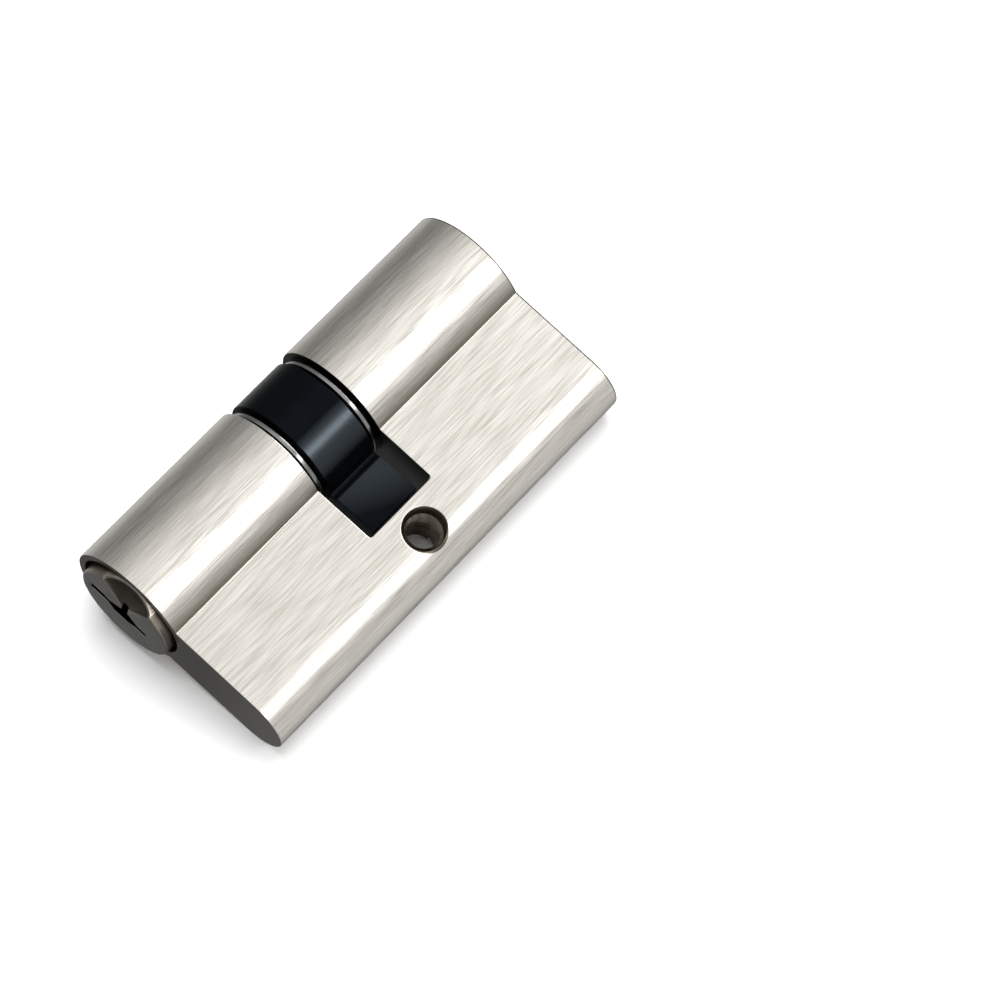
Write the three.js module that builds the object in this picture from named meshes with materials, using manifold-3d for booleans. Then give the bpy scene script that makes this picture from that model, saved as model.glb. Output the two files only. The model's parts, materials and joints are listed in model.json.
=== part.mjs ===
// Euro profile double cylinder, the lock barrel of a mortice door lock, lying on its side.
//
// Millimetres, +Z up. Each piece is first built in the profile's own frame: X along the barrel's axis
// from the front end to the rear end, Y across the profile with the flange on the -Y side, Z through
// the flange's thickness, and the origin on the barrel's axis at mid-length. The whole lock is then
// tilted about X, so that it rests on its barrel and on the flange's rounded edge.

import * as THREE from 'three';
import { mergeVertices } from 'three/addons/utils/BufferGeometryUtils.js';
import Module from 'manifold-3d';

const wasm = await Module();
wasm.setup();

// ---- Driving dimensions ----

// The housing's euro profile
const HALF_LENGTH = 30.4;
const BARREL_R = 8.5;
const FLANGE_HALF = 5;
const PROFILE_HEIGHT = 33;
const END_CHAMFER = 0.25;

// The slot that the cam turns in
const SLOT_HALF = 5.45;
const SLOT_DEPTH = 15.4;
const SLOT_CORNER = 0.4;

// The fixing screw's hole through the flange
const SCREW_AT = 19.3;
const SCREW_R = 2.1;
const COUNTERSINK_R = 2.85;

// The plugs, which turn in the housing's bore
const BORE_R = 6.6;
const PLUG_R = 6.5;
const HEAD_R = 6.9;
const HEAD_RECESS_R = 7.5;
const HEAD_RECESS_DEPTH = 1.5;
const FRONT_HEAD_PROUD = 1.2;
const REAR_HEAD_PROUD = 0.4;
const HEAD_CHAMFER = 0.25;
const SPIGOT_R = 5.5;
const CLIP_GROOVE_R = 5.9;
const CLIP_GROOVE = [-5.1, -4.3];
const CLIP_R = 7.7;
const CLIP_THICKNESS = 0.6;
const KEYWAY_END = 6.6;

// The scoop in a head's face, as high over the axis as its point and as wide as its mouth
const SCOOP_APEX = 1.9;
const SCOOP_HALF_WIDTH = 5.4;
const SCOOP_FLATNESS = 0.27;
const SCOOP_AT = 0.45;

// The cam, with its bore for the coupling
const CAM_HALF = 3.9;
const CAM_R = 8.2;
const LEVER_HALF = 2.6;
const LEVER_R = 15;
const CAM_BORE_R = 4.3;
const CAM_SEAT_R = 5.6;
const CAM_SEAT = 3;
const WING_SLOT_HALF = 1.3;
const WING_SLOT_R = 5.2;

// The coupling's two winged pieces and the spring between them
const WING_HALF = 1.15;
const WING_R = 5.05;
const COUPLING_CORE_R = 3.4;
const COUPLING_CORE = 0.55;
const COUPLING_WIDTH = 1.8;
const NOSE_R = 1.5;
const NOSE_LENGTH = 1.4;
const FRONT_COUPLING_AT = -2.4;
const REAR_COUPLING_AT = 1;

// The pin chambers, counted from mid-length. Each set sits equally far behind its own head's face,
// because one key opens both ends.
const FRONT_CHAMBERS = [8.5, 12.5, 16.5, 20.5, 24.5];
const REAR_CHAMBERS = FRONT_CHAMBERS.map((x) => x - FRONT_HEAD_PROUD + REAR_HEAD_PROUD);
const CHAMBER_R = 1.55;
const PLUG_CHAMBER_R = 1.5;
const PLUG_CHAMBER_END = 0.7;
const PIN_R = 1.4;
const PIN_EDGE = 0.15;
const KEY_PIN_LENGTHS = [4.0, 5.0, 4.5, 5.5, 4.25];
const KEY_PIN_FOOT = 6.45;
const DRIVER_TOP = 6.75;
const DRIVER_LENGTH = 5;
const SPRING_COIL_R = 1.05;
const SPRING_WIRE_R = 0.2;
const SPRING_TURNS = 6;
const STOPPER_TOP = 23;
const STOPPER_R = 1.5;

// ---- Materials ----

const metal = (color, roughness) => new THREE.MeshStandardMaterial({ color, roughness, metalness: 1 });
const satinNickel = metal(0xd8d4cc, 0.35);
const plugNickel = metal(0x8f8b84, 0.4);
const steel = metal(0xb9babb, 0.3);
const brass = metal(0xc9a657, 0.35);
const springSteel = metal(0x9a9ea3, 0.3);
const couplingSteel = metal(0x85878a, 0.45);
const blackFinish = new THREE.MeshStandardMaterial({ color: 0x14171a, roughness: 0.4, metalness: 0.6 });

// ---- Geometry helpers ----

// Welds a closed geometry's vertices and makes it a solid that can be joined and cut.
function solid(geometry) {
  const bare = geometry.clone();
  bare.deleteAttribute('normal');
  bare.deleteAttribute('uv');
  const welded = mergeVertices(bare, 1e-4);
  const { array, count } = welded.getAttribute('position');
  const corner = (i) => new THREE.Vector3().fromArray(array, 3 * i);
  const triangles = [];
  let volume = 0;
  for (let i = 0; i < welded.index.count; i += 3) {
    const [a, b, c] = [0, 1, 2].map((k) => welded.index.getX(i + k));
    if (a === b || b === c || c === a) continue;
    triangles.push([a, b, c]);
    volume += corner(a).dot(corner(b).cross(corner(c)));
  }
  if (volume < 0) triangles.forEach((triangle) => triangle.reverse());
  return new wasm.Manifold(new wasm.Mesh({
    numProp: 3,
    vertProperties: new Float32Array(array.slice(0, 3 * count)),
    triVerts: new Uint32Array(triangles.flat()),
  }));
}

// Turns a finished solid back into a geometry with flat faces.
function geometryOf(body) {
  const mesh = body.getMesh();
  const geometry = new THREE.BufferGeometry();
  geometry.setAttribute('position', new THREE.BufferAttribute(new Float32Array(mesh.vertProperties), 3));
  geometry.setIndex(new THREE.BufferAttribute(new Uint32Array(mesh.triVerts), 1));
  return geometry;
}

const points = (pairs) => pairs.map(([a, b]) => new THREE.Vector2(a, b));

// Points along an arc, both ends included.
function arc(x, y, radius, from, to, steps) {
  return Array.from({ length: steps + 1 }, (_, i) => {
    const angle = from + (to - from) * i / steps;
    return [x + radius * Math.cos(angle), y + radius * Math.sin(angle)];
  });
}

// Turns a profile of [x, radius] points about the X axis.
function turnedAboutX(profile, segments = 48) {
  const lathe = new THREE.LatheGeometry(points(profile.map(([x, radius]) => [radius, x])), segments);
  const axes = new THREE.Matrix4().makeBasis(
    new THREE.Vector3(0, 0, 1), new THREE.Vector3(1, 0, 0), new THREE.Vector3(0, 1, 0));
  return solid(lathe.applyMatrix4(axes));
}

// Turns a profile of [y, radius] points about the Y axis.
function turnedAboutY(profile, segments) {
  return solid(new THREE.LatheGeometry(points(profile.map(([y, radius]) => [radius, y])), segments));
}

const rodAboutX = (radius, x0, x1, segments) =>
  turnedAboutX([[x0, 0], [x0, radius], [x1, radius], [x1, 0]], segments);

const rodAboutY = (radius, y0, y1, segments) =>
  turnedAboutY([[y0, 0], [y0, radius], [y1, radius], [y1, 0]], segments);

const ringAboutX = (inner, outer, x0, x1, segments) =>
  turnedAboutX([[x0, inner], [x0, outer], [x1, outer], [x1, inner], [x0, inner]], segments);

// Extrudes an outline of [y, z] points along X, with an optional chamfer round both ends.
function extrudedAlongX(outline, x0, x1, chamfer = 0) {
  const geometry = new THREE.ExtrudeGeometry(new THREE.Shape(points(outline)), {
    depth: x1 - x0 - 2 * chamfer,
    bevelEnabled: chamfer > 0,
    bevelThickness: chamfer,
    bevelSize: chamfer,
    bevelOffset: -chamfer,
    bevelSegments: 1,
  });
  const axes = new THREE.Matrix4().makeBasis(
    new THREE.Vector3(0, 1, 0), new THREE.Vector3(0, 0, 1), new THREE.Vector3(1, 0, 0));
  return solid(geometry.applyMatrix4(axes).translate(x0 + chamfer, 0, 0));
}

function block(x0, x1, y0, y1, z0, z1) {
  const geometry = new THREE.BoxGeometry(x1 - x0, y1 - y0, z1 - z0);
  return solid(geometry.translate((x0 + x1) / 2, (y0 + y1) / 2, (z0 + z1) / 2));
}

// A coil spring of round wire along the Y or X axis, from one end to the other.
function coil(coilRadius, wireRadius, from, to, turns, along) {
  class Helix extends THREE.Curve {
    getPoint(t, target = new THREE.Vector3()) {
      const angle = 2 * Math.PI * turns * t;
      const axial = from + wireRadius + (to - from - 2 * wireRadius) * t;
      const [u, v] = [coilRadius * Math.cos(angle), coilRadius * Math.sin(angle)];
      return along === 'x' ? target.set(axial, u, v) : target.set(v, axial, u);
    }
  }
  const wire = new THREE.Shape(points(arc(0, 0, wireRadius, 0, 2 * Math.PI, 4).slice(0, 4)));
  return solid(new THREE.ExtrudeGeometry(wire, { steps: 6 * turns, extrudePath: new Helix() }));
}

// Makes the same cut at each place along X.
const cutAt = (body, cutter, positions) =>
  positions.reduce((rest, x) => rest.subtract(cutter.translate([x, 0, 0])), body);

// ---- Pieces ----

const FLANGE_EDGE = PROFILE_HEIGHT - BARREL_R;
const FLANGE_ARC_AT = FLANGE_EDGE - FLANGE_HALF;

// The euro profile: the barrel's circle, met by a flange with a fully rounded edge.
function profileOutline(shrink = 0) {
  const barrel = BARREL_R - shrink;
  const flange = FLANGE_HALF - shrink;
  const meets = Math.PI - Math.asin(flange / barrel);
  return [
    ...arc(0, 0, barrel, meets, -meets, 64),
    ...arc(-FLANGE_ARC_AT, 0, flange, -Math.PI / 2, -1.5 * Math.PI, 24),
  ];
}

// A rounded rectangle that opens past the barrel, cut right through the flange's thickness.
function slotCutter() {
  const [side, floor, top] = [SLOT_HALF, -SLOT_DEPTH, BARREL_R + 1];
  const [cornerX, cornerY] = [side - SLOT_CORNER, floor + SLOT_CORNER];
  const outline = [
    [side, top],
    [-side, top],
    ...arc(-cornerX, cornerY, SLOT_CORNER, Math.PI, 1.5 * Math.PI, 3),
    ...arc(cornerX, cornerY, SLOT_CORNER, -Math.PI / 2, 0, 3),
  ];
  const depth = 2 * BARREL_R + 2;
  const geometry = new THREE.ExtrudeGeometry(new THREE.Shape(points(outline)),
    { depth, bevelEnabled: false });
  return solid(geometry.translate(0, 0, -depth / 2));
}

// The threaded hole's core, countersunk on both sides of the flange.
function screwCutter() {
  const sink = COUNTERSINK_R - SCREW_R;
  const out = FLANGE_HALF + 1;
  const profile = [
    [0, -out], [COUNTERSINK_R, -out], [COUNTERSINK_R, -FLANGE_HALF], [SCREW_R, sink - FLANGE_HALF],
    [SCREW_R, FLANGE_HALF - sink], [COUNTERSINK_R, FLANGE_HALF], [COUNTERSINK_R, out], [0, out],
  ];
  const geometry = new THREE.LatheGeometry(points(profile), 32);
  return solid(geometry.rotateX(Math.PI / 2).translate(0, -SCREW_AT, 0));
}

function housing() {
  const out = HALF_LENGTH + 1;
  const recess = HALF_LENGTH - HEAD_RECESS_DEPTH;
  const chamber = rodAboutY(CHAMBER_R, -FLANGE_EDGE - 1, -BORE_R + 1, 16);
  const body = extrudedAlongX(profileOutline(), -HALF_LENGTH, HALF_LENGTH, END_CHAMFER)
    .subtract(rodAboutX(BORE_R, -out, out))
    .subtract(rodAboutX(HEAD_RECESS_R, -out, -recess))
    .subtract(rodAboutX(HEAD_RECESS_R, recess, out))
    .subtract(slotCutter())
    .subtract(screwCutter());
  return cutAt(body, chamber, [...FRONT_CHAMBERS.map((x) => -x), ...REAR_CHAMBERS]);
}

// The stepped keyway's section, from its narrow top through the wide middle to its narrow foot.
const KEYWAY = [
  [5.3, 0.35], [3.3, 0.35], [2.4, 0], [0.5, 0.9], [-0.6, 0.9], [-2.2, -0.3], [-3.6, -0.3],
  [-3.6, -1.2], [-1.8, -1.2], [-0.6, -1.8], [1.4, -1.8], [2.6, -0.8], [5.3, -0.8],
];

// The scoop that guides a key in: a flattened cone that opens towards the head's rim, and its throat.
function scoopCutter(face) {
  const length = HEAD_R + 0.6 - SCOOP_APEX;
  const cone = new THREE.ConeGeometry(SCOOP_HALF_WIDTH, length, 32);
  cone.rotateX(-Math.PI / 2).scale(SCOOP_FLATNESS, 1, 1);
  cone.translate(face, SCOOP_AT, SCOOP_APEX + length / 2);
  return solid(cone).add(block(face - 1, face + 1.1, -0.5, 0.6, 0.5, 3.2));
}

// A plug, as it stands at the front: head, body, circlip groove, the spigot that runs in the cam's
// end, and the slot that takes the coupling's wings.
function plug(proud, chambers) {
  const face = -HALF_LENGTH - proud;
  const shoulder = -HALF_LENGTH + HEAD_RECESS_DEPTH - 0.1;
  const [grooveStart, grooveEnd] = CLIP_GROOVE;
  const [spigotStart, spigotEnd] = [-CAM_HALF - 0.2, -CAM_SEAT - 0.1];
  const turned = turnedAboutX([
    [face, 0], [face, HEAD_R - HEAD_CHAMFER], [face + HEAD_CHAMFER, HEAD_R], [shoulder, HEAD_R],
    [shoulder, PLUG_R], [grooveStart, PLUG_R], [grooveStart, CLIP_GROOVE_R],
    [grooveEnd, CLIP_GROOVE_R], [grooveEnd, PLUG_R], [spigotStart, PLUG_R],
    [spigotStart, SPIGOT_R], [spigotEnd, SPIGOT_R], [spigotEnd, 0],
  ]);
  const body = turned
    .subtract(extrudedAlongX(KEYWAY, face - 1, -KEYWAY_END))
    .subtract(scoopCutter(face))
    .subtract(rodAboutX(NOSE_R + 0.2, -KEYWAY_END - 1, -CAM_SEAT + 1, 24))
    .subtract(block(FRONT_COUPLING_AT - COUPLING_WIDTH - 0.15, -CAM_SEAT + 1,
      -BORE_R, BORE_R, -WING_SLOT_HALF, WING_SLOT_HALF));
  const chamber = rodAboutY(PLUG_CHAMBER_R, -BORE_R - 1, PLUG_CHAMBER_END, 16);
  return cutAt(body, chamber, chambers.map((x) => -x));
}

// The ring in the slot, with its lever towards the flange.
function cam() {
  const reach = Math.sqrt(LEVER_R ** 2 - LEVER_HALF ** 2);
  const tip = Math.asin(LEVER_HALF / LEVER_R);
  const lever = [[-2, -LEVER_HALF], [-2, LEVER_HALF], [-reach, LEVER_HALF],
    ...arc(0, 0, LEVER_R, Math.PI - tip, Math.PI + tip, 8).slice(1, -1), [-reach, -LEVER_HALF]];
  return rodAboutX(CAM_R, -CAM_HALF, CAM_HALF, 64)
    .add(extrudedAlongX(lever, -CAM_HALF, CAM_HALF))
    .subtract(rodAboutX(CAM_BORE_R, -CAM_HALF - 1, CAM_HALF + 1))
    .subtract(rodAboutX(CAM_SEAT_R, -CAM_HALF - 1, -CAM_SEAT))
    .subtract(rodAboutX(CAM_SEAT_R, CAM_SEAT, CAM_HALF + 1))
    .subtract(block(-CAM_SEAT - 0.5, CAM_SEAT + 0.5,
      -WING_SLOT_R, WING_SLOT_R, -WING_SLOT_HALF, WING_SLOT_HALF));
}

// A snap ring of flat steel, open on its underside.
function circlip() {
  const inner = CLIP_GROOVE_R + 0.05;
  const half = CLIP_THICKNESS / 2;
  const gap = [[0, 0], ...arc(0, 0, 2 * CLIP_R, -0.7 * Math.PI, -0.3 * Math.PI, 4)];
  return ringAboutX(inner, CLIP_R, -half, half).subtract(extrudedAlongX(gap, -1, 1));
}

// A coupling piece, as it faces the front plug from x = 0: a thin core, two wings that fit the cam's
// notches and a plug's end slot, and a nose that the key's tip pushes.
function couplingPiece() {
  return rodAboutX(COUPLING_CORE_R, -COUPLING_CORE, 0, 32)
    .add(block(-COUPLING_WIDTH, 0, -WING_R, WING_R, -WING_HALF, WING_HALF))
    .add(rodAboutX(NOSE_R, -COUPLING_WIDTH - NOSE_LENGTH, -COUPLING_CORE / 2, 24));
}

// A key pin: its foot meets the driver at the shear line, and its pointed end rests on the key.
function keyPin(length) {
  const point = length - KEY_PIN_FOOT;
  return turnedAboutY([
    [-KEY_PIN_FOOT, 0], [-KEY_PIN_FOOT, 0.8], [-KEY_PIN_FOOT + PIN_EDGE, PIN_R],
    [point - 0.85, PIN_R], [point, 0.45], [point, 0],
  ], 16);
}

// A driver pin, which the spring pushes towards the plug.
function driverPin() {
  const foot = -DRIVER_TOP - DRIVER_LENGTH;
  return turnedAboutY([
    [foot, 0], [foot, PIN_R - 0.2], [foot + 0.2, PIN_R], [-DRIVER_TOP - 0.2, PIN_R],
    [-DRIVER_TOP, PIN_R - 0.2], [-DRIVER_TOP, 0],
  ], 16);
}

function pinSpring() {
  const top = -DRIVER_TOP - DRIVER_LENGTH - 0.1;
  return coil(SPRING_COIL_R, SPRING_WIRE_R, -STOPPER_TOP + 0.1, top, SPRING_TURNS, 'y');
}

const couplingSpring = () =>
  coil(2.4, 0.25, FRONT_COUPLING_AT + 0.05, REAR_COUPLING_AT - 0.05, 3, 'x');

// The stopper that closes a chamber, dressed flush with the flange's rounded edge.
function chamberStopper() {
  const flush = extrudedAlongX(profileOutline(0.03), -CHAMBER_R - 1, CHAMBER_R + 1);
  return rodAboutY(STOPPER_R, -FLANGE_EDGE - 1, -STOPPER_TOP, 16).intersect(flush);
}

// ---- Assembly ----

const lock = new THREE.Group();

function place(name, body, material, x = 0) {
  const mesh = new THREE.Mesh(geometryOf(body), material);
  mesh.name = name;
  mesh.position.x = x;
  lock.add(mesh);
  return mesh;
}

const clipAt = -(CLIP_GROOVE[0] + CLIP_GROOVE[1]) / 2;

place('housing', housing(), satinNickel);
place('front_plug', plug(FRONT_HEAD_PROUD, FRONT_CHAMBERS), plugNickel);
// The rear plug is made like the front one and turned end for end. Its head stands less proud.
place('rear_plug', plug(REAR_HEAD_PROUD, REAR_CHAMBERS), plugNickel).rotation.y = Math.PI;
place('cam', cam(), blackFinish);
place('front_circlip', circlip(), steel, -clipAt);
place('rear_circlip', circlip(), steel, clipAt);
place('front_coupling', couplingPiece(), couplingSteel, FRONT_COUPLING_AT);
place('rear_coupling', couplingPiece(), couplingSteel, REAR_COUPLING_AT).rotation.y = Math.PI;
place('coupling_spring', couplingSpring(), springSteel);

for (const [end, side, chambers] of [['front', -1, FRONT_CHAMBERS], ['rear', 1, REAR_CHAMBERS]]) {
  chambers.forEach((distance, i) => {
    const x = side * distance;
    place(`${end}_key_pin_${i + 1}`, keyPin(KEY_PIN_LENGTHS[i]), brass, x);
    place(`${end}_driver_pin_${i + 1}`, driverPin(), brass, x);
    place(`${end}_pin_spring_${i + 1}`, pinSpring(), springSteel, x);
    place(`${end}_stopper_${i + 1}`, chamberStopper(), satinNickel, x);
  });
}

// The tilt at which the barrel and the flange's rounded edge both touch the ground.
lock.rotation.x = Math.asin((BARREL_R - FLANGE_HALF) / FLANGE_ARC_AT);
const flangeReach = FLANGE_ARC_AT * Math.cos(lock.rotation.x) + FLANGE_HALF;
lock.position.set((FRONT_HEAD_PROUD - REAR_HEAD_PROUD) / 2, (flangeReach - BARREL_R) / 2, BARREL_R);

const cylinder = new THREE.Group();
cylinder.add(lock);

export default cylinder;
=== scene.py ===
# %% [markdown]
# # A euro profile lock cylinder in satin nickel
#
# This lesson dresses a packed lock cylinder. The frame already holds every piece at its real size and
# knows how each one moves. Here each piece gets the fine surface that a machined part has: round walls
# that look round, edges that a tumbler has softened, a cut thread, and metal that shows how it was made.

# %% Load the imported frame
import json
import math

import bmesh
import bpy
from mathutils import Matrix, Vector


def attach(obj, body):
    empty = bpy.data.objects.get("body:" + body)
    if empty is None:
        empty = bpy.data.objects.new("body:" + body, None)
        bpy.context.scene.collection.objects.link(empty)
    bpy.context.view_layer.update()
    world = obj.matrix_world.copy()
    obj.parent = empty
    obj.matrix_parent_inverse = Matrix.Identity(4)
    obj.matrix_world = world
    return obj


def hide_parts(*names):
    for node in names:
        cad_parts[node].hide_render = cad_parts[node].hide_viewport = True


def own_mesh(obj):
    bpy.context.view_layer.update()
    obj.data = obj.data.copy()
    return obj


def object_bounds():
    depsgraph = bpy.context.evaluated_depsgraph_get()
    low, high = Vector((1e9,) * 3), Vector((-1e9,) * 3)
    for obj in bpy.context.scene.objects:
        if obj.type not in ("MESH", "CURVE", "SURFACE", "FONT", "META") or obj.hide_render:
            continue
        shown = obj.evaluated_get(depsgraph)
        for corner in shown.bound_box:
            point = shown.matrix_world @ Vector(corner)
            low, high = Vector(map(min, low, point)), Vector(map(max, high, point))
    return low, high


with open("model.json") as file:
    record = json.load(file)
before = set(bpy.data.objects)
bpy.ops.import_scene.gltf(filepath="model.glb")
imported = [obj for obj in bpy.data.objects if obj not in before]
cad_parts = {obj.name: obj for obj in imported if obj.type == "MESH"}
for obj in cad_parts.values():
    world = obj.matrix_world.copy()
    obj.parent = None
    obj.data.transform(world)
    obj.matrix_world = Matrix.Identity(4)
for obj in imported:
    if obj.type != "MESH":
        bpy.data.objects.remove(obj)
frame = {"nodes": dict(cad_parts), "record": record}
cad_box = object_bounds()
nodes = frame["nodes"]
joints = {joint["name"]: joint for joint in frame["record"]["behaviour"]["joints"]}
print("loaded", len(nodes), "nodes, box in mm:",
      [[round(1000 * v, 2) for v in corner] for corner in cad_box])

# %% [markdown]
# ## Where things are
#
# The lock lies tilted, on its barrel and on the edge of its flange. Modelling tilted shapes by hand is
# painful, so every piece is drawn upright in the profile's own frame: X along the barrel's axis, Y from
# the flange to the barrel, Z through the flange's thickness, in millimetres. One matrix then lays it
# down. The matrix comes from two joints of the frame: the plug's hinge gives the axis, and a driver
# pin's slide gives the direction towards the flange.

# %% The profile's own frame
axis_at = Vector(joints["front_plug_turn"]["pos_m"])
to_flange = Vector(joints["front_driver_pin_1_slide"]["axis"]).normalized()
along = Vector((1, 0, 0))
tilt = Matrix((along, -to_flange, along.cross(-to_flange))).transposed().to_4x4()
LAY = Matrix.Translation(axis_at) @ tilt @ Matrix.Scale(0.001, 4)


def extent(node):
    """Lowest and highest corner of a CAD node in the profile's frame, in millimetres."""
    upright = LAY.inverted()
    spots = [upright @ vertex.co for vertex in nodes[node].data.vertices]
    low = Vector([min(spot[i] for spot in spots) for i in range(3)])
    high = Vector([max(spot[i] for spot in spots) for i in range(3)])
    return low, high


housing_low, housing_high = extent("housing")
plug_low, plug_high = extent("front_plug")
cam_low, cam_high = extent("cam")
clip_low, clip_high = extent("front_circlip")
print("tilt in degrees:", round(math.degrees(math.asin(-to_flange.z)), 2))

# %% [markdown]
# ## Sizes
#
# The outer sizes are measured from the frame. What a box can't tell, such as the bore, is named here.

# %% Sizes in millimetres
HALF_LENGTH = housing_high.x
BARREL_R = housing_high.y
FLANGE_EDGE = -housing_low.y
FLANGE_HALF = 5
EDGE_WIDTH = 0.13
BORE_R = 6.6
RECESS_R = 7.5
RECESS_DEPTH = 1.5
SLOT_HALF = 5.45
SLOT_DEPTH = 15.4
SCREW_AT = 19.3
SCREW_MAJOR_R = 2.45
SCREW_MINOR_R = 2.08
COUNTERSINK_R = 2.9
PITCH = 1.0
FRONT_FACE = -plug_low.x
REAR_FACE = extent("rear_plug")[1].x
HEAD_R = plug_high.y
PLUG_R = 6.5
GROOVE = [clip_low.x - 0.1, clip_high.x + 0.1]
GROOVE_R = 5.9
CAM_HALF = cam_high.x
CAM_R = cam_high.y
LEVER_R = -cam_low.y
LEVER_HALF = 2.6
CAM_SEAT = 3
CAM_BORE_R = 4.3
SPIGOT_R = 5.5
FRONT_CHAMBERS = [8.5, 12.5, 16.5, 20.5, 24.5]
REAR_CHAMBERS = [x - FRONT_FACE + REAR_FACE for x in FRONT_CHAMBERS]
CHAMBER_R = 1.52
print("housing", round(2 * HALF_LENGTH, 2), "long, barrel radius", round(BARREL_R, 2), "head radius",
      round(HEAD_R, 2))

# %% [markdown]
# ## Mesh helpers
#
# A lock is turned, milled and drilled, so the helpers do the same: one spins a profile about the
# barrel's axis, one extrudes an outline along it, and one cuts a shape out of another. A sculpted or
# subdivided mesh would give rounder corners than a machine leaves. Cutting true solids and then
# bevelling every sharp edge a little is closer to how the real pieces are made.

# %% Arcs, turned shapes, extruded shapes and drills
def arc(x, y, radius, start, end, steps):
    """Points along an arc, both ends included. Angles are in degrees."""
    angles = [math.radians(start + (end - start) * i / steps) for i in range(steps + 1)]
    return [(x + radius * math.cos(a), y + radius * math.sin(a)) for a in angles]


def make(name, points, faces):
    """A mesh object in the scene, still upright and in millimetres."""
    mesh = bpy.data.meshes.new(name)
    mesh.from_pydata(points, [], faces)
    work = bmesh.new()
    work.from_mesh(mesh)
    bmesh.ops.recalc_face_normals(work, faces=work.faces)
    work.to_mesh(mesh)
    work.free()
    piece = bpy.data.objects.new(name, mesh)
    bpy.context.scene.collection.objects.link(piece)
    return piece


def turned(name, profile, segments=128):
    """Spins a profile of (x, radius) points about the X axis. It starts and ends on the axis."""
    points = [(profile[0][0], 0, 0)]
    for x, radius in profile[1:-1]:
        points += [(x, y, z) for y, z in arc(0, 0, radius, 0, 360, segments)[:-1]]
    points.append((profile[-1][0], 0, 0))
    rings = len(profile) - 2
    last = len(points) - 1
    faces = []
    for s in range(segments):
        t = (s + 1) % segments
        faces.append((0, 1 + s, 1 + t))
        for ring in range(rings - 1):
            here, there = 1 + ring * segments, 1 + (ring + 1) * segments
            faces.append((here + s, there + s, there + t, here + t))
        faces.append((last, last - segments + t, last - segments + s))
    return make(name, points, faces)


def extruded(name, outline, start, end):
    """Extrudes an outline of (y, z) points along X."""
    count = len(outline)
    points = [(start, y, z) for y, z in outline] + [(end, y, z) for y, z in outline]
    sides = [(i, (i + 1) % count, count + (i + 1) % count, count + i) for i in range(count)]
    return make(name, points, [tuple(range(count)), tuple(range(count, 2 * count)), *sides])


def rod(name, radius, start, end, segments=96):
    return turned(name, [(start, 0), (start, radius), (end, radius), (end, 0)], segments)


def stood(piece, matrix):
    piece.data.transform(matrix)
    piece.data.update()
    return piece


X_TO_Y = Matrix.Rotation(math.radians(90), 4, "Z")
X_TO_Z = Matrix.Rotation(math.radians(-90), 4, "Y")

# %% Joining and cutting
def combined(piece, other, operation):
    """Joins or cuts two solids and keeps only the result."""
    step = piece.modifiers.new("step", "BOOLEAN")
    step.operation = operation
    step.solver = "EXACT"
    step.object = other
    bpy.context.view_layer.update()
    evaluated = piece.evaluated_get(bpy.context.evaluated_depsgraph_get())
    result = bpy.data.meshes.new_from_object(evaluated)
    piece.modifiers.clear()
    piece.data = result
    bpy.data.objects.remove(other)
    return piece


SHARP = math.radians(28)
STILL_SHARP = math.radians(38)


def cut(piece, *cutters):
    for cutter in cutters:
        combined(piece, cutter, "DIFFERENCE")
    return piece


def block(name, low, high):
    corners = [(x, y, z) for x in (low[0], high[0]) for y in (low[1], high[1]) for z in (low[2], high[2])]
    faces = [(0, 1, 3, 2), (4, 6, 7, 5), (0, 4, 5, 1), (2, 3, 7, 6), (0, 2, 6, 4), (1, 5, 7, 3)]
    return make(name, corners, faces)


def softened(piece, width):
    """Rounds every sharp edge a little. Cuts leave doubled points, which are merged first."""
    work = bmesh.new()
    work.from_mesh(piece.data)
    bmesh.ops.remove_doubles(work, verts=work.verts, dist=0.004)
    sharp = [edge for edge in work.edges if edge.is_manifold and edge.calc_face_angle() > SHARP]
    bmesh.ops.bevel(work, geom=sharp, offset=width, segments=2, profile=0.5, affect="EDGES",
                    clamp_overlap=False)
    bmesh.ops.remove_doubles(work, verts=work.verts, dist=0.004)
    work.to_mesh(piece.data)
    work.free()
    return piece


# %% Finishing a piece
def finished(piece, body, slot, finish, *stands_for):
    """Lays a piece down, shades it, gives it its finish and lets it ride on its body."""
    stood(piece, LAY)
    piece.data.name = piece.name
    piece.data.materials.clear()
    piece.data.materials.append(finish)
    piece.data.shade_smooth()
    piece.data.set_sharp_from_angle(angle=STILL_SHARP)
    even = piece.modifiers.new("even shading", "WEIGHTED_NORMAL")
    even.keep_sharp = True
    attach(piece, body)
    if stands_for:
        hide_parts(*stands_for)
    print(piece.name, "has", len(piece.data.polygons), "faces")
    return piece


# %% [markdown]
# ## Shader arithmetic
#
# A finish is built from node sockets. Wrapping a socket in a small class lets a finish read like
# arithmetic: `0.3 + 0.1 * grain` adds its own Math nodes. Colours and vectors need Mix and Vector Math
# nodes instead, because a Math node would turn them grey, so those come from the general node method.

# %% A socket that can be added and multiplied
class Value:
    """One output socket in a node tree."""

    def __init__(self, tree, socket):
        self.tree = tree
        self.socket = socket

    def math(self, operation, first, second):
        return self.tree.node("ShaderNodeMath", {"operation": operation}, {0: first, 1: second})

    def __add__(self, other):
        return self.math("ADD", self, other)

    def __radd__(self, other):
        return self.math("ADD", other, self)

    def __sub__(self, other):
        return self.math("SUBTRACT", self, other)

    def __rsub__(self, other):
        return self.math("SUBTRACT", other, self)

    def __mul__(self, other):
        return self.math("MULTIPLY", self, other)

    def __rmul__(self, other):
        return self.math("MULTIPLY", other, self)


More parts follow.
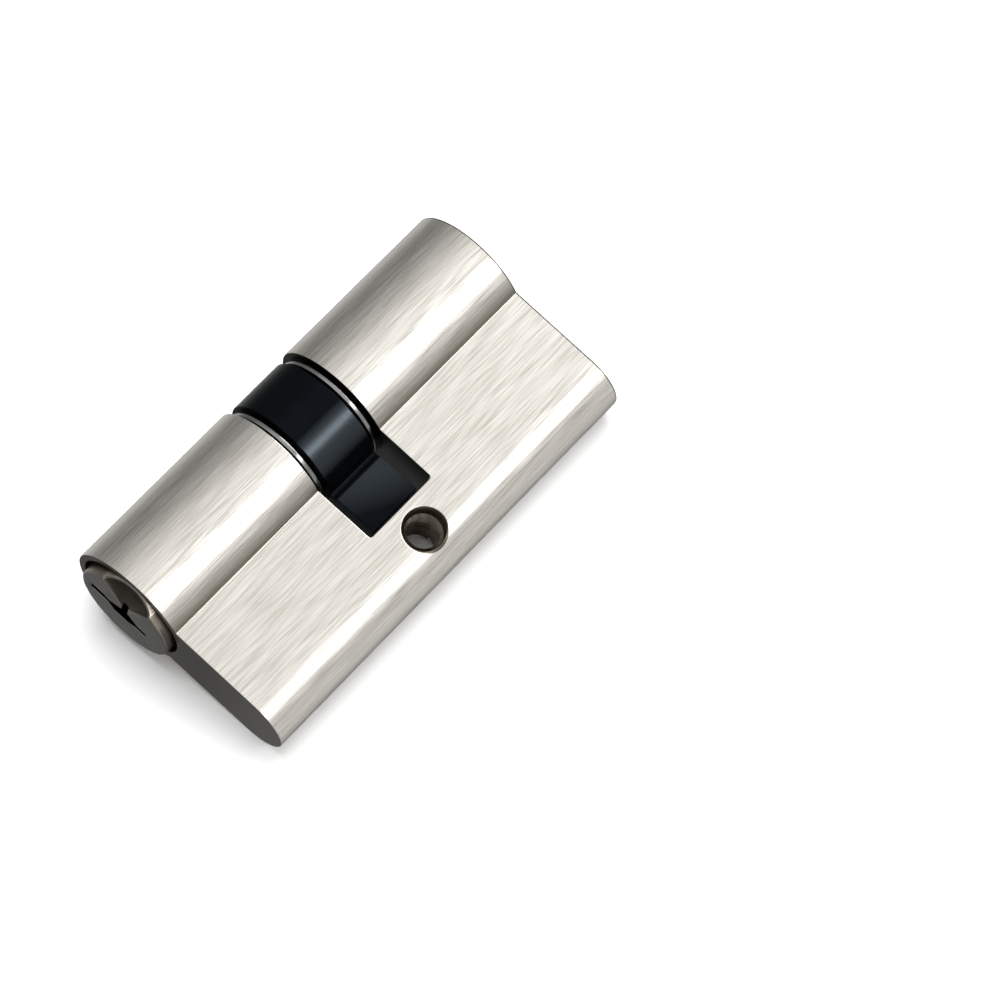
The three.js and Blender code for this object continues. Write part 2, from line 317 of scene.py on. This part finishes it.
# %% A node tree that is written as calls
class Nodes:
    """The node tree of a finish or of the room."""

    def __init__(self, owner):
        owner.use_nodes = True
        self.tree = owner.node_tree

    def node(self, kind, settings=None, inputs=None, output=0):
        """Adds a node: settings first, then the values or links of its sockets."""
        made = self.tree.nodes.new(kind)
        for name, setting in (settings or {}).items():
            if name == "stops":
                self.put_stops(made.color_ramp.elements, setting)
            else:
                setattr(made, name, setting)
        for name, value in (inputs or {}).items():
            self.feed(made.inputs[name], value)
        return Value(self, made.outputs[output])

    def put_stops(self, elements, stops):
        """Gives a ramp its stops of (position, grey), lowest first."""
        elements.remove(elements[1])
        elements[0].position = stops[0][0]
        for position, grey in stops:
            stop = elements[0] if position == stops[0][0] else elements.new(position)
            stop.color = (grey, grey, grey, 1)

    def feed(self, socket, value):
        if isinstance(value, Value):
            self.tree.links.new(value.socket, socket)
        else:
            socket.default_value = value

    def spread(self, value, low, high):
        """Stretches the range from low to high over 0 to 1, and clips the rest."""
        return self.node("ShaderNodeMapRange", None,
                         {"Value": value, "From Min": low, "From Max": high}, "Result")


# %% A finish
class Finish(Nodes):
    """A material under construction."""

    def __init__(self, name, metallic, roughness):
        self.material = bpy.data.materials.new(name)
        super().__init__(self.material)
        self.shader = self.tree.nodes["Principled BSDF"]
        self.shader.inputs["Metallic"].default_value = metallic
        self.shader.inputs["Roughness"].default_value = roughness

    def set(self, **sockets):
        """Feeds the shader's sockets, such as base_color for Base Color."""
        for name, value in sockets.items():
            self.feed(self.shader.inputs[name.replace("_", " ").title()], value)
        return self.material

    def upright(self):
        """The profile's own x, y and z in millimetres, as three values."""
        here = self.node("ShaderNodeTexCoord", output="Object")
        moved = self.node("ShaderNodeVectorMath", {"operation": "SUBTRACT"}, {0: here, 1: axis_at})
        axes = (along, -to_flange, along.cross(-to_flange))
        return [self.node("ShaderNodeVectorMath", {"operation": "DOT_PRODUCT"},
                          {0: moved, 1: 1000 * axis}, "Value") for axis in axes]

    def facing_along(self):
        """1 where the surface faces the rear end, -1 where it faces the front end, 0 round the barrel."""
        normal = self.node("ShaderNodeTexCoord", output="Normal")
        return self.node("ShaderNodeSeparateXYZ", None, {0: normal}, "X")

    def stretched(self, x, y, z):
        """The piece's own coordinates in millimetres, scaled apart along each axis."""
        here = self.node("ShaderNodeTexCoord", output="Object")
        scale = (1000 * x, 1000 * y, 1000 * z)
        return self.node("ShaderNodeVectorMath", {"operation": "MULTIPLY"}, {0: here, 1: scale})

    def noise(self, vector, detail=3, roughness=0.5):
        return self.node("ShaderNodeTexNoise", None,
                         {"Vector": vector, "Scale": 1, "Detail": detail, "Roughness": roughness}, "Fac")

    def mixed(self, amount, first, second):
        """One colour where amount is 0 and the other where it is 1."""
        first, second = [colour if isinstance(colour, Value) else (*colour, 1) for colour in (first, second)]
        return self.node("ShaderNodeMix", {"data_type": "RGBA"}, {0: amount, 6: first, 7: second}, 2)

    def bumped(self, height, depth):
        """A normal from a height of 0 to 1, where 1 stands depth millimetres proud."""
        return self.node("ShaderNodeBump", None,
                         {"Height": height, "Distance": depth * 0.001, "Strength": 1}, "Normal")


# %% [markdown]
# ## Satin nickel
#
# The housing is brass or zinc, plated with nickel and then drawn along a belt of abrasive. The belt
# leaves fine scratches that all run along the barrel, with a few broader bands where it pressed harder.
# Noise that is stretched along X gives just that, at three widths. The grain is mostly in the colour,
# and a little of it in the roughness and in a very shallow bump.
#
# Painted shade darkens some places by where they lie on the piece: the corner where the barrel runs into the
# flange, the end faces, which get lighter towards the flange's edge, the slot's walls, the drilled holes,
# and a thin line round the rear end's edge. The front end's edge has no such line, so the two ends don't
# quite match.

# %% Where shade is painted on the nickel
CORNER_Y = -math.sqrt(BARREL_R ** 2 - FLANGE_HALF ** 2)
CORNER_FADES, CORNER_FULL, CORNER_ENDS = CORNER_Y + 1.9, CORNER_Y + 0.2, CORNER_Y - 0.06
SLOT_WALLS_WITHIN, ENDS_BEYOND = 6, 7
EDGE_LINE_FROM, EDGE_LINE_FULL = HALF_LENGTH - 0.24, HALF_LENGTH - 0.16
BORE_MARGIN, SCREW_MARGIN = 0.08, 0.06


def painted_corner_shade(finish, y, facing):
    """1 where the barrel runs into the flange, where painted shade goes, and 0 elsewhere."""
    barrel = finish.spread(y, CORNER_FADES, CORNER_FULL) * finish.spread(y, CORNER_ENDS, CORNER_Y)
    return barrel * finish.spread(facing * facing, 0.5, 0.2)


def cut_across(finish, facing):
    """1 on faces cut across the barrel by saw and mill, where painted shade goes, and 0 round the barrel."""
    return 1 - (1 - finish.spread(facing, 0.25, 0.6)) * finish.spread(facing, -0.95, -0.8)


def rear_edge_shade(finish, x, facing):
    """1 on a thin line round the rear end's edge, where painted shade goes, and 0 elsewhere."""
    return finish.spread(x, EDGE_LINE_FROM, EDGE_LINE_FULL) * finish.spread(facing, 0.98, 0.9)


def drilled(finish, x, y, z):
    """1 inside the bore, the head recesses and the screw hole, where painted shade goes, and 0 on the
    outside.
    """
    bore = finish.spread(y * y + z * z, (RECESS_R + BORE_MARGIN) ** 2, RECESS_R ** 2)
    screw = finish.spread(x * x + (y + SCREW_AT) * (y + SCREW_AT), (COUNTERSINK_R + SCREW_MARGIN) ** 2,
                          COUNTERSINK_R ** 2)
    return 1 - (1 - bore) * (1 - screw)


# %% Brushed nickel
def brushed(name, light, dark, roughness, depth):
    finish = Finish(name, 1, roughness)
    lines = finish.noise(finish.stretched(0.22, 10, 10), 0)
    strokes = finish.noise(finish.stretched(0.1, 3, 3), 1)
    broad = finish.noise(finish.stretched(0.04, 0.8, 0.8), 2)
    grain = finish.spread(0.74 * lines + 0.16 * strokes + 0.1 * broad, 0.36, 0.64)
    x, y, z = finish.upright()
    facing = finish.facing_along()
    metal = finish.mixed(grain, dark, light)
    # Painted shade darkens the corner where the barrel runs into the flange.
    metal = finish.mixed(0.85 * painted_corner_shade(finish, y, facing), metal, (0.15, 0.13, 0.1))
    # Painted shade on the faces across the barrel: dark, and lighter towards the flange's edge.
    painted_cut_face_shade = finish.mixed(finish.spread(y, -12, -24), (0.19, 0.18, 0.165), (0.42, 0.405, 0.38))
    # Painted shade makes the slot's walls nearly black.
    painted_slot_shade = finish.spread(x * x, ENDS_BEYOND ** 2, SLOT_WALLS_WITHIN ** 2)
    painted_cut_face_shade = finish.mixed(painted_slot_shade, painted_cut_face_shade, (0.012, 0.012, 0.013))
    metal = finish.mixed(cut_across(finish, facing), metal, painted_cut_face_shade)
    # A thin dark line of painted shade round the rear end's edge.
    metal = finish.mixed(rear_edge_shade(finish, x, facing), metal, (0.03, 0.03, 0.03))
    # Painted shade darkens the bore, the head recesses and the screw hole.
    metal = finish.mixed(drilled(finish, x, y, z), metal, (0.13, 0.11, 0.085))
    return finish.set(
        base_color=metal,
        roughness=roughness + 0.1 * (grain - 0.5),
        normal=finish.bumped(strokes, depth))


satin_nickel = brushed("satin nickel", (0.89, 0.86, 0.8), (0.7, 0.665, 0.6), 0.32, 0.003)
print("made", satin_nickel.name, "with its painted corner shade at y =", round(CORNER_Y, 2))

# %% [markdown]
# ## The turned pieces
#
# The plugs, circlips and pins are turned, not brushed. A lathe leaves rings about the axis, so the noise
# changes fast along X and slowly across it.
#
# On a plug, what lies behind the face is painted darker the deeper it is, because little light gets in
# there, and the keyway is painted black. The keyway is told from the scoop by its height on Z. The rear
# plug lies turned over, so its scoop counts as keyway and comes out blacker than the front one's.

# %% Turned metal
def turned_finish(name, light, dark, roughness, depth):
    """A turned finish under construction, and its colour."""
    finish = Finish(name, 1, roughness)
    cloud = finish.noise(finish.stretched(0.7, 0.7, 0.7), 3)
    rings = finish.noise(finish.stretched(6, 0.25, 0.25), 2)
    tone = finish.spread(0.5 * cloud + 0.5 * rings, 0.35, 0.65)
    metal = finish.mixed(tone, dark, light)
    finish.set(base_color=metal, roughness=roughness + 0.12 * (tone - 0.5),
               normal=finish.bumped(rings, depth))
    return finish, metal


def turned_metal(name, light, dark, roughness, depth):
    """A turned finish that needs no more work, as a material."""
    return turned_finish(name, light, dark, roughness, depth)[0].material


def plug_metal(name, face, side):
    """A plug's finish, dark where it lies behind the face, which is at x = side * face."""
    finish, metal = turned_finish(name, (0.42, 0.41, 0.39), (0.3, 0.295, 0.28), 0.3, 0.002)
    x, y, z = finish.upright()
    facing = finish.facing_along()
    behind = face - side * x
    metal = finish.mixed(finish.spread(facing * facing, 0.6, 0.3), metal, (0.42, 0.375, 0.31))
    within = finish.spread(y * y + z * z, (HEAD_R - 0.28) ** 2, (HEAD_R - 0.36) ** 2)
    scoop = finish.mixed(finish.spread(behind, 0.2, 1.5), (0.13, 0.11, 0.085), (0.01, 0.009, 0.008))
    shade = finish.mixed(finish.spread(z, 1.4, 1.2), scoop, (0.006, 0.006, 0.006))
    return finish.set(base_color=finish.mixed(within * finish.spread(behind, 0.02, 0.08), metal, shade))


front_nickel = plug_metal("front plug nickel", FRONT_FACE, -1)
rear_nickel = plug_metal("rear plug nickel", REAR_FACE, 1)
clip_steel = turned_metal("clip steel", (0.4, 0.4, 0.395), (0.28, 0.28, 0.275), 0.22, 0.001)
pin_brass = turned_metal("pin brass", (0.78, 0.58, 0.28), (0.62, 0.44, 0.2), 0.28, 0.002)
spring_wire = turned_metal("spring wire", (0.6, 0.6, 0.61), (0.45, 0.45, 0.46), 0.25, 0.001)
coupling_steel = turned_metal("coupling steel", (0.4, 0.4, 0.405), (0.28, 0.28, 0.285), 0.42, 0.004)
# The thread is the housing's nickel painted dark brown, as shade down the screw hole.
shaded_thread_nickel = turned_metal("shaded thread nickel", (0.3, 0.26, 0.2), (0.12, 0.1, 0.08), 0.2, 0.001)
print("made", front_nickel.name, "and", rear_nickel.name)

# %% [markdown]
# ## The cam's black
#
# The cam is sintered steel with a black coating. Sintering leaves a fine even grain, and what the
# coating reflects is tinted a little blue.
#
# A coating this dark hardly shows a softbox, so a band along the ring and a fainter patch on the lever
# are painted lighter and more metallic. They stand in for a highlight. Being painted, they turn with
# the cam, where a true highlight would stay under the light. Without `painted_highlight` the coating is plain.

# %% Black coating
def black_coating():
    finish = Finish("black coating", 0, 0.24)
    finish.shader.inputs["Specular IOR Level"].default_value = 0.07
    finish.shader.inputs["Specular Tint"].default_value = (0.7, 0.86, 1, 1)
    grain = finish.noise(finish.stretched(3, 9, 9), 2, 0.6)
    cloud = finish.noise(finish.stretched(0.5, 0.5, 0.5), 2)
    x, y, z = finish.upright()
    # The band and the lever patch are a painted highlight, lighter and more metallic.
    band = finish.spread(y, -1.2, -3.4) * finish.spread(y, -6.4, -4.2) * finish.spread(z, 0, 2)
    lever = finish.spread(y, -8.6, -8.9) * finish.spread(y + 0.5 * x, -14, -9)
    painted_highlight = band + 0.4 * lever
    coat = finish.mixed(cloud, (0.0008, 0.001, 0.0014), (0.002, 0.0026, 0.0036))
    return finish.set(
        base_color=finish.mixed(painted_highlight, coat, (0.052, 0.062, 0.07)),
        metallic=painted_highlight * (0.8 + 0.4 * grain),
        roughness=0.15 + 0.14 * grain,
        normal=finish.bumped(grain, 0.008))


cam_black = black_coating()
print("made", cam_black.name)

# %% [markdown]
# ## The housing
#
# The housing starts as a drawn bar of the euro profile, cut to length. Then it is bored for the plugs,
# recessed for their heads, slotted for the cam, drilled for the pins from the flange's edge, and
# drilled and tapped for the fixing screw. The cuts follow in that order.

# %% Housing outline
FLANGE_ARC_AT = FLANGE_EDGE - FLANGE_HALF
meets = 180 - math.degrees(math.asin(FLANGE_HALF / BARREL_R))
profile = [*arc(0, 0, BARREL_R, meets, -meets, 144), *arc(-FLANGE_ARC_AT, 0, FLANGE_HALF, -90, -270, 56)]
housing = extruded("euro_housing", profile, -HALF_LENGTH, HALF_LENGTH)

# %% Bore, head recesses and cam slot
out = HALF_LENGTH + 1
recess = HALF_LENGTH - RECESS_DEPTH
cut(housing,
    rod("bore", BORE_R, -out, out, 128),
    rod("front recess", RECESS_R, -out, -recess, 128),
    rod("rear recess", RECESS_R, recess, out, 128))

corner = 0.4
slot_side, slot_floor, slot_top = SLOT_HALF - corner, corner - SLOT_DEPTH, BARREL_R + 1
slot_outline = [(SLOT_HALF, slot_top), (-SLOT_HALF, slot_top),
                *arc(-slot_side, slot_floor, corner, 180, 270, 4),
                *arc(slot_side, slot_floor, corner, 270, 360, 4)]
lie_flat = Matrix(((0, 1, 0, 0), (0, 0, 1, 0), (1, 0, 0, 0), (0, 0, 0, 1)))
slot_cutter = stood(extruded("slot", slot_outline, -10, 10), lie_flat)
cut(housing, slot_cutter)

# %% Screw hole, softened edges, then the pin chambers
def on_y(piece, x=0):
    return stood(piece, Matrix.Translation((x, 0, 0)) @ X_TO_Y)


face = FLANGE_HALF
screw_profile = [(-face - 1, 0), (-face - 1, COUNTERSINK_R), (-face, COUNTERSINK_R),
                 (-face + 0.8, SCREW_MAJOR_R), (face - 0.8, SCREW_MAJOR_R), (face, COUNTERSINK_R),
                 (face + 1, COUNTERSINK_R), (face + 1, 0)]
at_screw = Matrix.Translation((0, -SCREW_AT, 0))
cut(housing, stood(turned("screw hole", screw_profile, 72), at_screw @ X_TO_Z))
softened(housing, EDGE_WIDTH)
for chamber_x in [*(-x for x in FRONT_CHAMBERS), *REAR_CHAMBERS]:
    cut(housing, on_y(rod("chamber", CHAMBER_R, -FLANGE_EDGE - 1, 1 - BORE_R, 40), chamber_x))
finished(housing, "housing", "satin_nickel", satin_nickel, "housing")

# %% [markdown]
# ## The screw's thread
#
# A tap cuts a spiral groove and leaves a spiral ridge standing between its turns. The ridge can be
# bump only when it is never seen close up. Here light falls down the hole and each turn catches it, so
# the ridge is real: a small trapezium that climbs round the wall.

# %% Thread ridge
def thread(name, length):
    per_turn = 48
    turns = length / PITCH
    steps = round(per_turn * turns)
    section = [(SCREW_MAJOR_R + 0.1, -0.42), (SCREW_MINOR_R, -0.07), (SCREW_MINOR_R, 0.07),
               (SCREW_MAJOR_R + 0.1, 0.42)]
    points = []
    for step in range(steps + 1):
        angle = 2 * math.pi * step / per_turn
        climb = length * (step / steps - 0.5)
        points += [(r * math.cos(angle), r * math.sin(angle), climb + PITCH * dz) for r, dz in section]
    sides = len(section)
    faces = [tuple(range(sides)), tuple(range(steps * sides, steps * sides + sides))]
    for step in range(steps):
        for k in range(sides):
            a, b = step * sides + k, step * sides + (k + 1) % sides
            faces.append((a, b, b + sides, a + sides))
    return make(name, points, faces)


ridge = stood(thread("screw_thread", 2 * FLANGE_HALF - 2.2), at_screw)
finished(ridge, "housing", "satin_nickel", shaded_thread_nickel)

# %% [markdown]
# ## The plugs
#
# A plug is turned with a head at one end and a spigot at the other, then broached for the keyway and
# milled with a flared scoop that leads the key in. The scoop is a cone that lies in the face with its
# point near the keyway, flattened so that it stays shallow. The rear plug is the same piece turned end
# for end, so that one key fits both ends.

# %% Plug
KEYWAY_END = 6.6
PIN_HOLE_R, PIN_HOLE_END = 1.5, 0.7
SCOOP_APEX, SCOOP_HALF_WIDTH, SCOOP_FLATNESS, SCOOP_AT = 1.9, 5.6, 0.27, 0.45
KEYWAY = [(5.3, 0.35), (3.3, 0.35), (2.4, 0), (0.5, 0.9), (-0.6, 0.9), (-2.2, -0.3), (-3.6, -0.3),
          (-3.6, -1.2), (-1.8, -1.2), (-0.6, -1.8), (1.4, -1.8), (2.6, -0.8), (5.3, -0.8)]


def plug(name, face, chambers):
    shoulder = HALF_LENGTH - RECESS_DEPTH + 0.1
    spigot_from, spigot_to = -CAM_HALF - 0.2, -CAM_SEAT - 0.1
    profile = [(-face, 0), (-face, HEAD_R - 0.3), (-face + 0.06, HEAD_R - 0.14), (-face + 0.2, HEAD_R),
               (-shoulder, HEAD_R), (-shoulder, PLUG_R), (GROOVE[0], PLUG_R), (GROOVE[0], GROOVE_R),
               (GROOVE[1], GROOVE_R), (GROOVE[1], PLUG_R), (spigot_from, PLUG_R), (spigot_from, SPIGOT_R),
               (spigot_to, SPIGOT_R), (spigot_to, 0)]
    piece = turned(name, profile, 144)
    cone = [(SCOOP_APEX, 0), (HEAD_R + 0.8, SCOOP_HALF_WIDTH), (HEAD_R + 0.8, 0)]
    flatten = Matrix.Diagonal((SCOOP_FLATNESS, 1, 1, 1)) @ X_TO_Z
    at_face = Matrix.Translation((-face, SCOOP_AT, 0))
    cut(piece,
        extruded("keyway", KEYWAY, -face - 1, -KEYWAY_END),
        stood(turned("scoop", cone, 72), at_face @ flatten),
        block("throat", (-face - 1, -0.45, 0.5), (-face + 1.2, 0.5, 3.0)),
        rod("nose hole", 1.7, -KEYWAY_END - 1, -2),
        block("wing slot", (-4.35, -8, -1.3), (-2, 8, 1.3)),
        *[on_y(rod("pin hole", PIN_HOLE_R, -BORE_R - 1, PIN_HOLE_END, 32), -x) for x in chambers])
    return softened(piece, 0.05)


END_FOR_END = Matrix.Rotation(math.pi, 4, "Y")
finished(plug("front_key_plug", FRONT_FACE, FRONT_CHAMBERS), "front_plug", "plug_nickel",
         front_nickel, "front_plug")
finished(stood(plug("rear_key_plug", REAR_FACE, REAR_CHAMBERS), END_FOR_END), "rear_plug",
         "plug_nickel", rear_nickel, "rear_plug")

# %% [markdown]
# ## The cam
#
# The cam is a ring with a lever, pressed and sintered as one piece. One outline holds both: the ring's
# arc, the lever's flanks, and the arc at its tip that just clears the slot's floor. A small groove along
# the lever's root relieves the corner between the two.

# %% Cam
RELIEF_AT = 8.2
RELIEF_R = 0.7
flank = math.degrees(math.asin(LEVER_HALF / CAM_R))
tip = math.degrees(math.asin(LEVER_HALF / LEVER_R))
cam_outline = [*arc(0, 0, CAM_R, 180 - flank, flank - 180, 120),
               *arc(0, 0, LEVER_R, tip - 180, -tip - 180, 16)]
cam = extruded("lever_cam", cam_outline, -CAM_HALF, CAM_HALF)
cut(cam,
    rod("cam bore", CAM_BORE_R, -CAM_HALF - 1, CAM_HALF + 1),
    rod("front seat", SPIGOT_R + 0.1, -CAM_HALF - 1, -CAM_SEAT),
    rod("rear seat", SPIGOT_R + 0.1, CAM_SEAT, CAM_HALF + 1),
    block("notches", (-CAM_SEAT - 0.5, -5.2, -1.3), (CAM_SEAT + 0.5, 5.2, 1.3)))
for side in (-1, 1):
    at_root = Matrix.Translation((0, -RELIEF_AT, side * LEVER_HALF))
    cut(cam, stood(rod("relief", RELIEF_R, -CAM_HALF - 1, CAM_HALF + 1, 48), at_root))
finished(softened(cam, 0.12), "cam", "black_cam", cam_black, "cam")

# %% [markdown]
# ## The circlips
#
# A circlip is stamped from flat spring steel and snaps into a groove, open on one side.

# %% Circlips
CLIP_INNER = 5.95
CLIP_OUTER = clip_high.y
clip_half = (clip_high.x - clip_low.x) / 2
clip_outline = [*arc(0, 0, CLIP_OUTER, -54, 234, 112), *arc(0, 0, CLIP_INNER, 234, -54, 112)]
clip_middle = (clip_high.x + clip_low.x) / 2
for end, x in (("front", clip_middle), ("rear", -clip_middle)):
    clip = extruded(f"{end}_snap_ring", clip_outline, x - clip_half, x + clip_half)
    finished(softened(clip, 0.12), f"{end}_plug", "steel", clip_steel, f"{end}_circlip")

# %% [markdown]
# ## Pins, springs and stoppers
#
# Ten chambers hold the same four pieces. Each is turned about the chamber's line and copied by a loop.

# %% Pins, springs and stoppers
KEY_PIN_LENGTHS = [4.0, 5.0, 4.5, 5.5, 4.25]
KEY_PIN_FOOT = -6.45
DRIVER_FOOT, DRIVER_TOP = -11.75, -6.75
PIN_R = 1.4
STOPPER_R = 1.505
FLUSH = 0.9995
SPRING_FROM, SPRING_TO = -22.9, -11.85


def key_pin(name, length):
    foot, point = KEY_PIN_FOOT, length + KEY_PIN_FOOT
    return turned(name, [(foot, 0), (foot, 0.8), (foot + 0.15, PIN_R), (point - 0.85, PIN_R),
                         (point - 0.12, 0.58), (point, 0.4), (point, 0)], 40)


def driver_pin(name):
    foot, top = DRIVER_FOOT, DRIVER_TOP
    return turned(name, [(foot, 0), (foot, 1.2), (foot + 0.2, PIN_R), (top - 0.2, PIN_R), (top, 1.2),
                         (top, 0)], 40)


def coil(name, radius, wire, start, end, turns):
    """A spring of round wire about the X axis."""
    per_turn, around = 20, 8
    steps = per_turn * turns
    centres = []
    for step in range(steps + 1):
        angle = 2 * math.pi * step / per_turn
        x = start + wire + (end - start - 2 * wire) * step / steps
        centres.append((x, angle))
    points = []
    for x, angle in centres:
        for u, v in arc(0, 0, wire, 0, 360, around)[:-1]:
            reach = radius + u
            points.append((x + v, reach * math.cos(angle), reach * math.sin(angle)))
    faces = [tuple(range(around)), tuple(range(steps * around, steps * around + around))]
    for step in range(steps):
        for k in range(around):
            a, b = step * around + k, step * around + (k + 1) % around
            faces.append((a, b, b + around, a + around))
    return make(name, points, faces)


def stopper(name):
    piece = rod(name, STOPPER_R, -FLANGE_EDGE - 1, SPRING_FROM, 40)
    flush = [(y * FLUSH, z * FLUSH) for y, z in profile]
    keep = stood(extruded("flush", flush, -2, 2), X_TO_Y.inverted())
    return combined(piece, keep, "INTERSECT")


for end, side, chambers in (("front", -1, FRONT_CHAMBERS), ("rear", 1, REAR_CHAMBERS)):
    for i, distance in enumerate(chambers):
        x, tag = side * distance, f"{end}_{i + 1}"
        key_body, driver_body = f"{end}_key_pin_{i + 1}", f"{end}_driver_pin_{i + 1}"
        key = on_y(key_pin(f"key_pin_{tag}", KEY_PIN_LENGTHS[i]), x)
        finished(key, key_body, "brass", pin_brass, key_body)
        driver = on_y(driver_pin(f"driver_pin_{tag}"), x)
        finished(driver, driver_body, "brass", pin_brass, driver_body)
        stop = on_y(stopper(f"stopper_{tag}"), x)
        finished(stop, "housing", "satin_nickel", satin_nickel, f"{end}_stopper_{i + 1}")
        spring = on_y(coil(f"pin_spring_{tag}", 1.05, 0.2, SPRING_FROM, SPRING_TO, 6), x)
        finished(spring, "housing", "spring_steel", spring_wire, f"{end}_pin_spring_{i + 1}")
        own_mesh(spring)

# %% [markdown]
# ## The coupling
#
# The coupling between the plugs sits deep inside the cam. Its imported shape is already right, so it
# stays, and only gets the steel's finish in place of the plain one.

# %% Coupling finishes
for name, finish in (("front_coupling", coupling_steel), ("rear_coupling", coupling_steel),
                     ("coupling_spring", spring_wire)):
    for holder in nodes[name].material_slots:
        holder.material = finish
    print(name, "is now", finish.name)

# %% [markdown]
# ## Studio
#
# A pale floor, three soft lights and a dome. On brushed metal the room is half the picture: the
# barrel's bands are the strip light and the dome's bright and dark parts, one after another.
#
# The lighting is staged. The strip lights everything. The key is hidden from diffuse rays, so it shows
# only in reflections. The overhead light is hidden from glossy rays, so it is there for the floor and
# the shadow. The floor is hidden from glossy rays as well, because one this white would flood the
# lower half of the barrel.

# %% Floor
floor = make("floor", [(-2, -2, 0), (2, -2, 0), (2, 2, 0), (-2, 2, 0)], [(0, 1, 2, 3)])
paper = Finish("paper", 0, 0.9)
fibres = paper.noise(paper.stretched(0.3, 0.3, 0.3), 2)
paper.set(base_color=paper.mixed(fibres, (0.93, 0.93, 0.93), (0.95, 0.95, 0.95)))
floor.data.materials.append(paper.material)
floor.visible_glossy = False

# %% Lights
def softbox(name, direction, distance, length, width, radiance):
    """A rectangular light that faces the lock, with its length as near to the barrel's axis as it can."""
    light = bpy.data.lights.new(name, "AREA")
    light.shape = "RECTANGLE"
    light.size, light.size_y = length, width
    light.energy = radiance * math.pi * length * width
    away = Vector(direction).normalized()
    side = (along - along.dot(away) * away).normalized()
    lamp = bpy.data.objects.new(name, light)
    lamp.matrix_world = Matrix.Translation(distance * away) @ \
        Matrix((side, away.cross(side), away)).transposed().to_4x4()
    bpy.context.scene.collection.objects.link(lamp)
    print(name, "gives", round(light.energy, 2), "W")
    return lamp


softbox("strip", (0.283, -0.66, 0.695), 0.6, 0.6, 0.13, 5)
softbox("key", (0.8, -0.1, 0.6), 0.9, 0.5, 0.5, 5).visible_diffuse = False
softbox("overhead", (0.26, 0.22, 0.94), 0.6, 0.6, 0.6, 4).visible_glossy = False

# %% [markdown]
# ## The room
#
# The room is bright overhead and darker towards the horizon, and a mid grey below. It is a little
# brighter on the flange's side, and low down on the barrel's side. The part that lies below and beyond
# the front end is darker.

# %% Room
dome = bpy.data.worlds.new("dome")
bpy.context.scene.world = dome
room = Nodes(dome)
gaze = room.node("ShaderNodeTexCoord", output="Generated")
x, y, z = [room.node("ShaderNodeSeparateXYZ", None, {0: gaze}, axis) for axis in "XYZ"]
BY_HEIGHT = [(-1, 0.16), (-0.8, 0.42), (-0.5, 0.4), (-0.25, 0.3), (0, 0.22), (0.21, 0.2), (0.43, 0.31),
             (0.62, 0.4), (0.78, 0.54), (0.89, 0.74), (1, 0.95)]
stops = [(0.5 + 0.5 * position, grey) for position, grey in BY_HEIGHT]
by_height = room.node("ShaderNodeValToRGB", {"stops": stops}, {0: 0.5 + 0.5 * z})
flange_side = (0.28 + 0.12 * room.spread(z, 0.3, 0) * room.spread(z, -0.5, -0.2)) * \
    room.spread(y, -0.3, -0.9)
barrel_side = 0.3 * room.spread(y, 0.2, 0.8) * room.spread(z, -0.25, -0.7)
dark_corner = room.spread(z, -0.1, -0.6) * room.spread(x, 0.15, -0.25)
room.feed(room.tree.nodes["Background"].inputs["Color"],
          (by_height + flange_side + barrel_side) * (1 - 0.5 * dark_corner))

# %% [markdown]
# ## Camera
#
# A long lens from high on the front left keeps the profile's lines nearly parallel.

# %% Camera
def camera_at(azimuth, elevation, roll, aim, distance, lens):
    az, el = math.radians(azimuth), math.radians(elevation)
    forward = Vector((-math.sin(az) * math.cos(el), math.cos(az) * math.cos(el), -math.sin(el)))
    right = forward.cross(Vector((0, 0, 1))).normalized()
    right.rotate(Matrix.Rotation(math.radians(roll), 3, forward))
    data = bpy.data.cameras.new("camera")
    data.sensor_width = 36
    data.lens = lens
    camera = bpy.data.objects.new("camera", data)
    up = right.cross(forward)
    camera.matrix_world = Matrix.Translation(Vector(aim) - distance * forward) @ \
        Matrix((right, up, -forward)).transposed().to_4x4()
    bpy.context.scene.collection.objects.link(camera)
    return camera


middle = (Vector(cad_box[0]) + Vector(cad_box[1])) / 2
bpy.context.scene.camera = camera_at(-49.06, 65.32, -0.66, middle + Vector((0.0096, -0.0159, 0.0005)),
                                     0.5422, 162)
bpy.context.scene.view_settings.view_transform = "Standard"
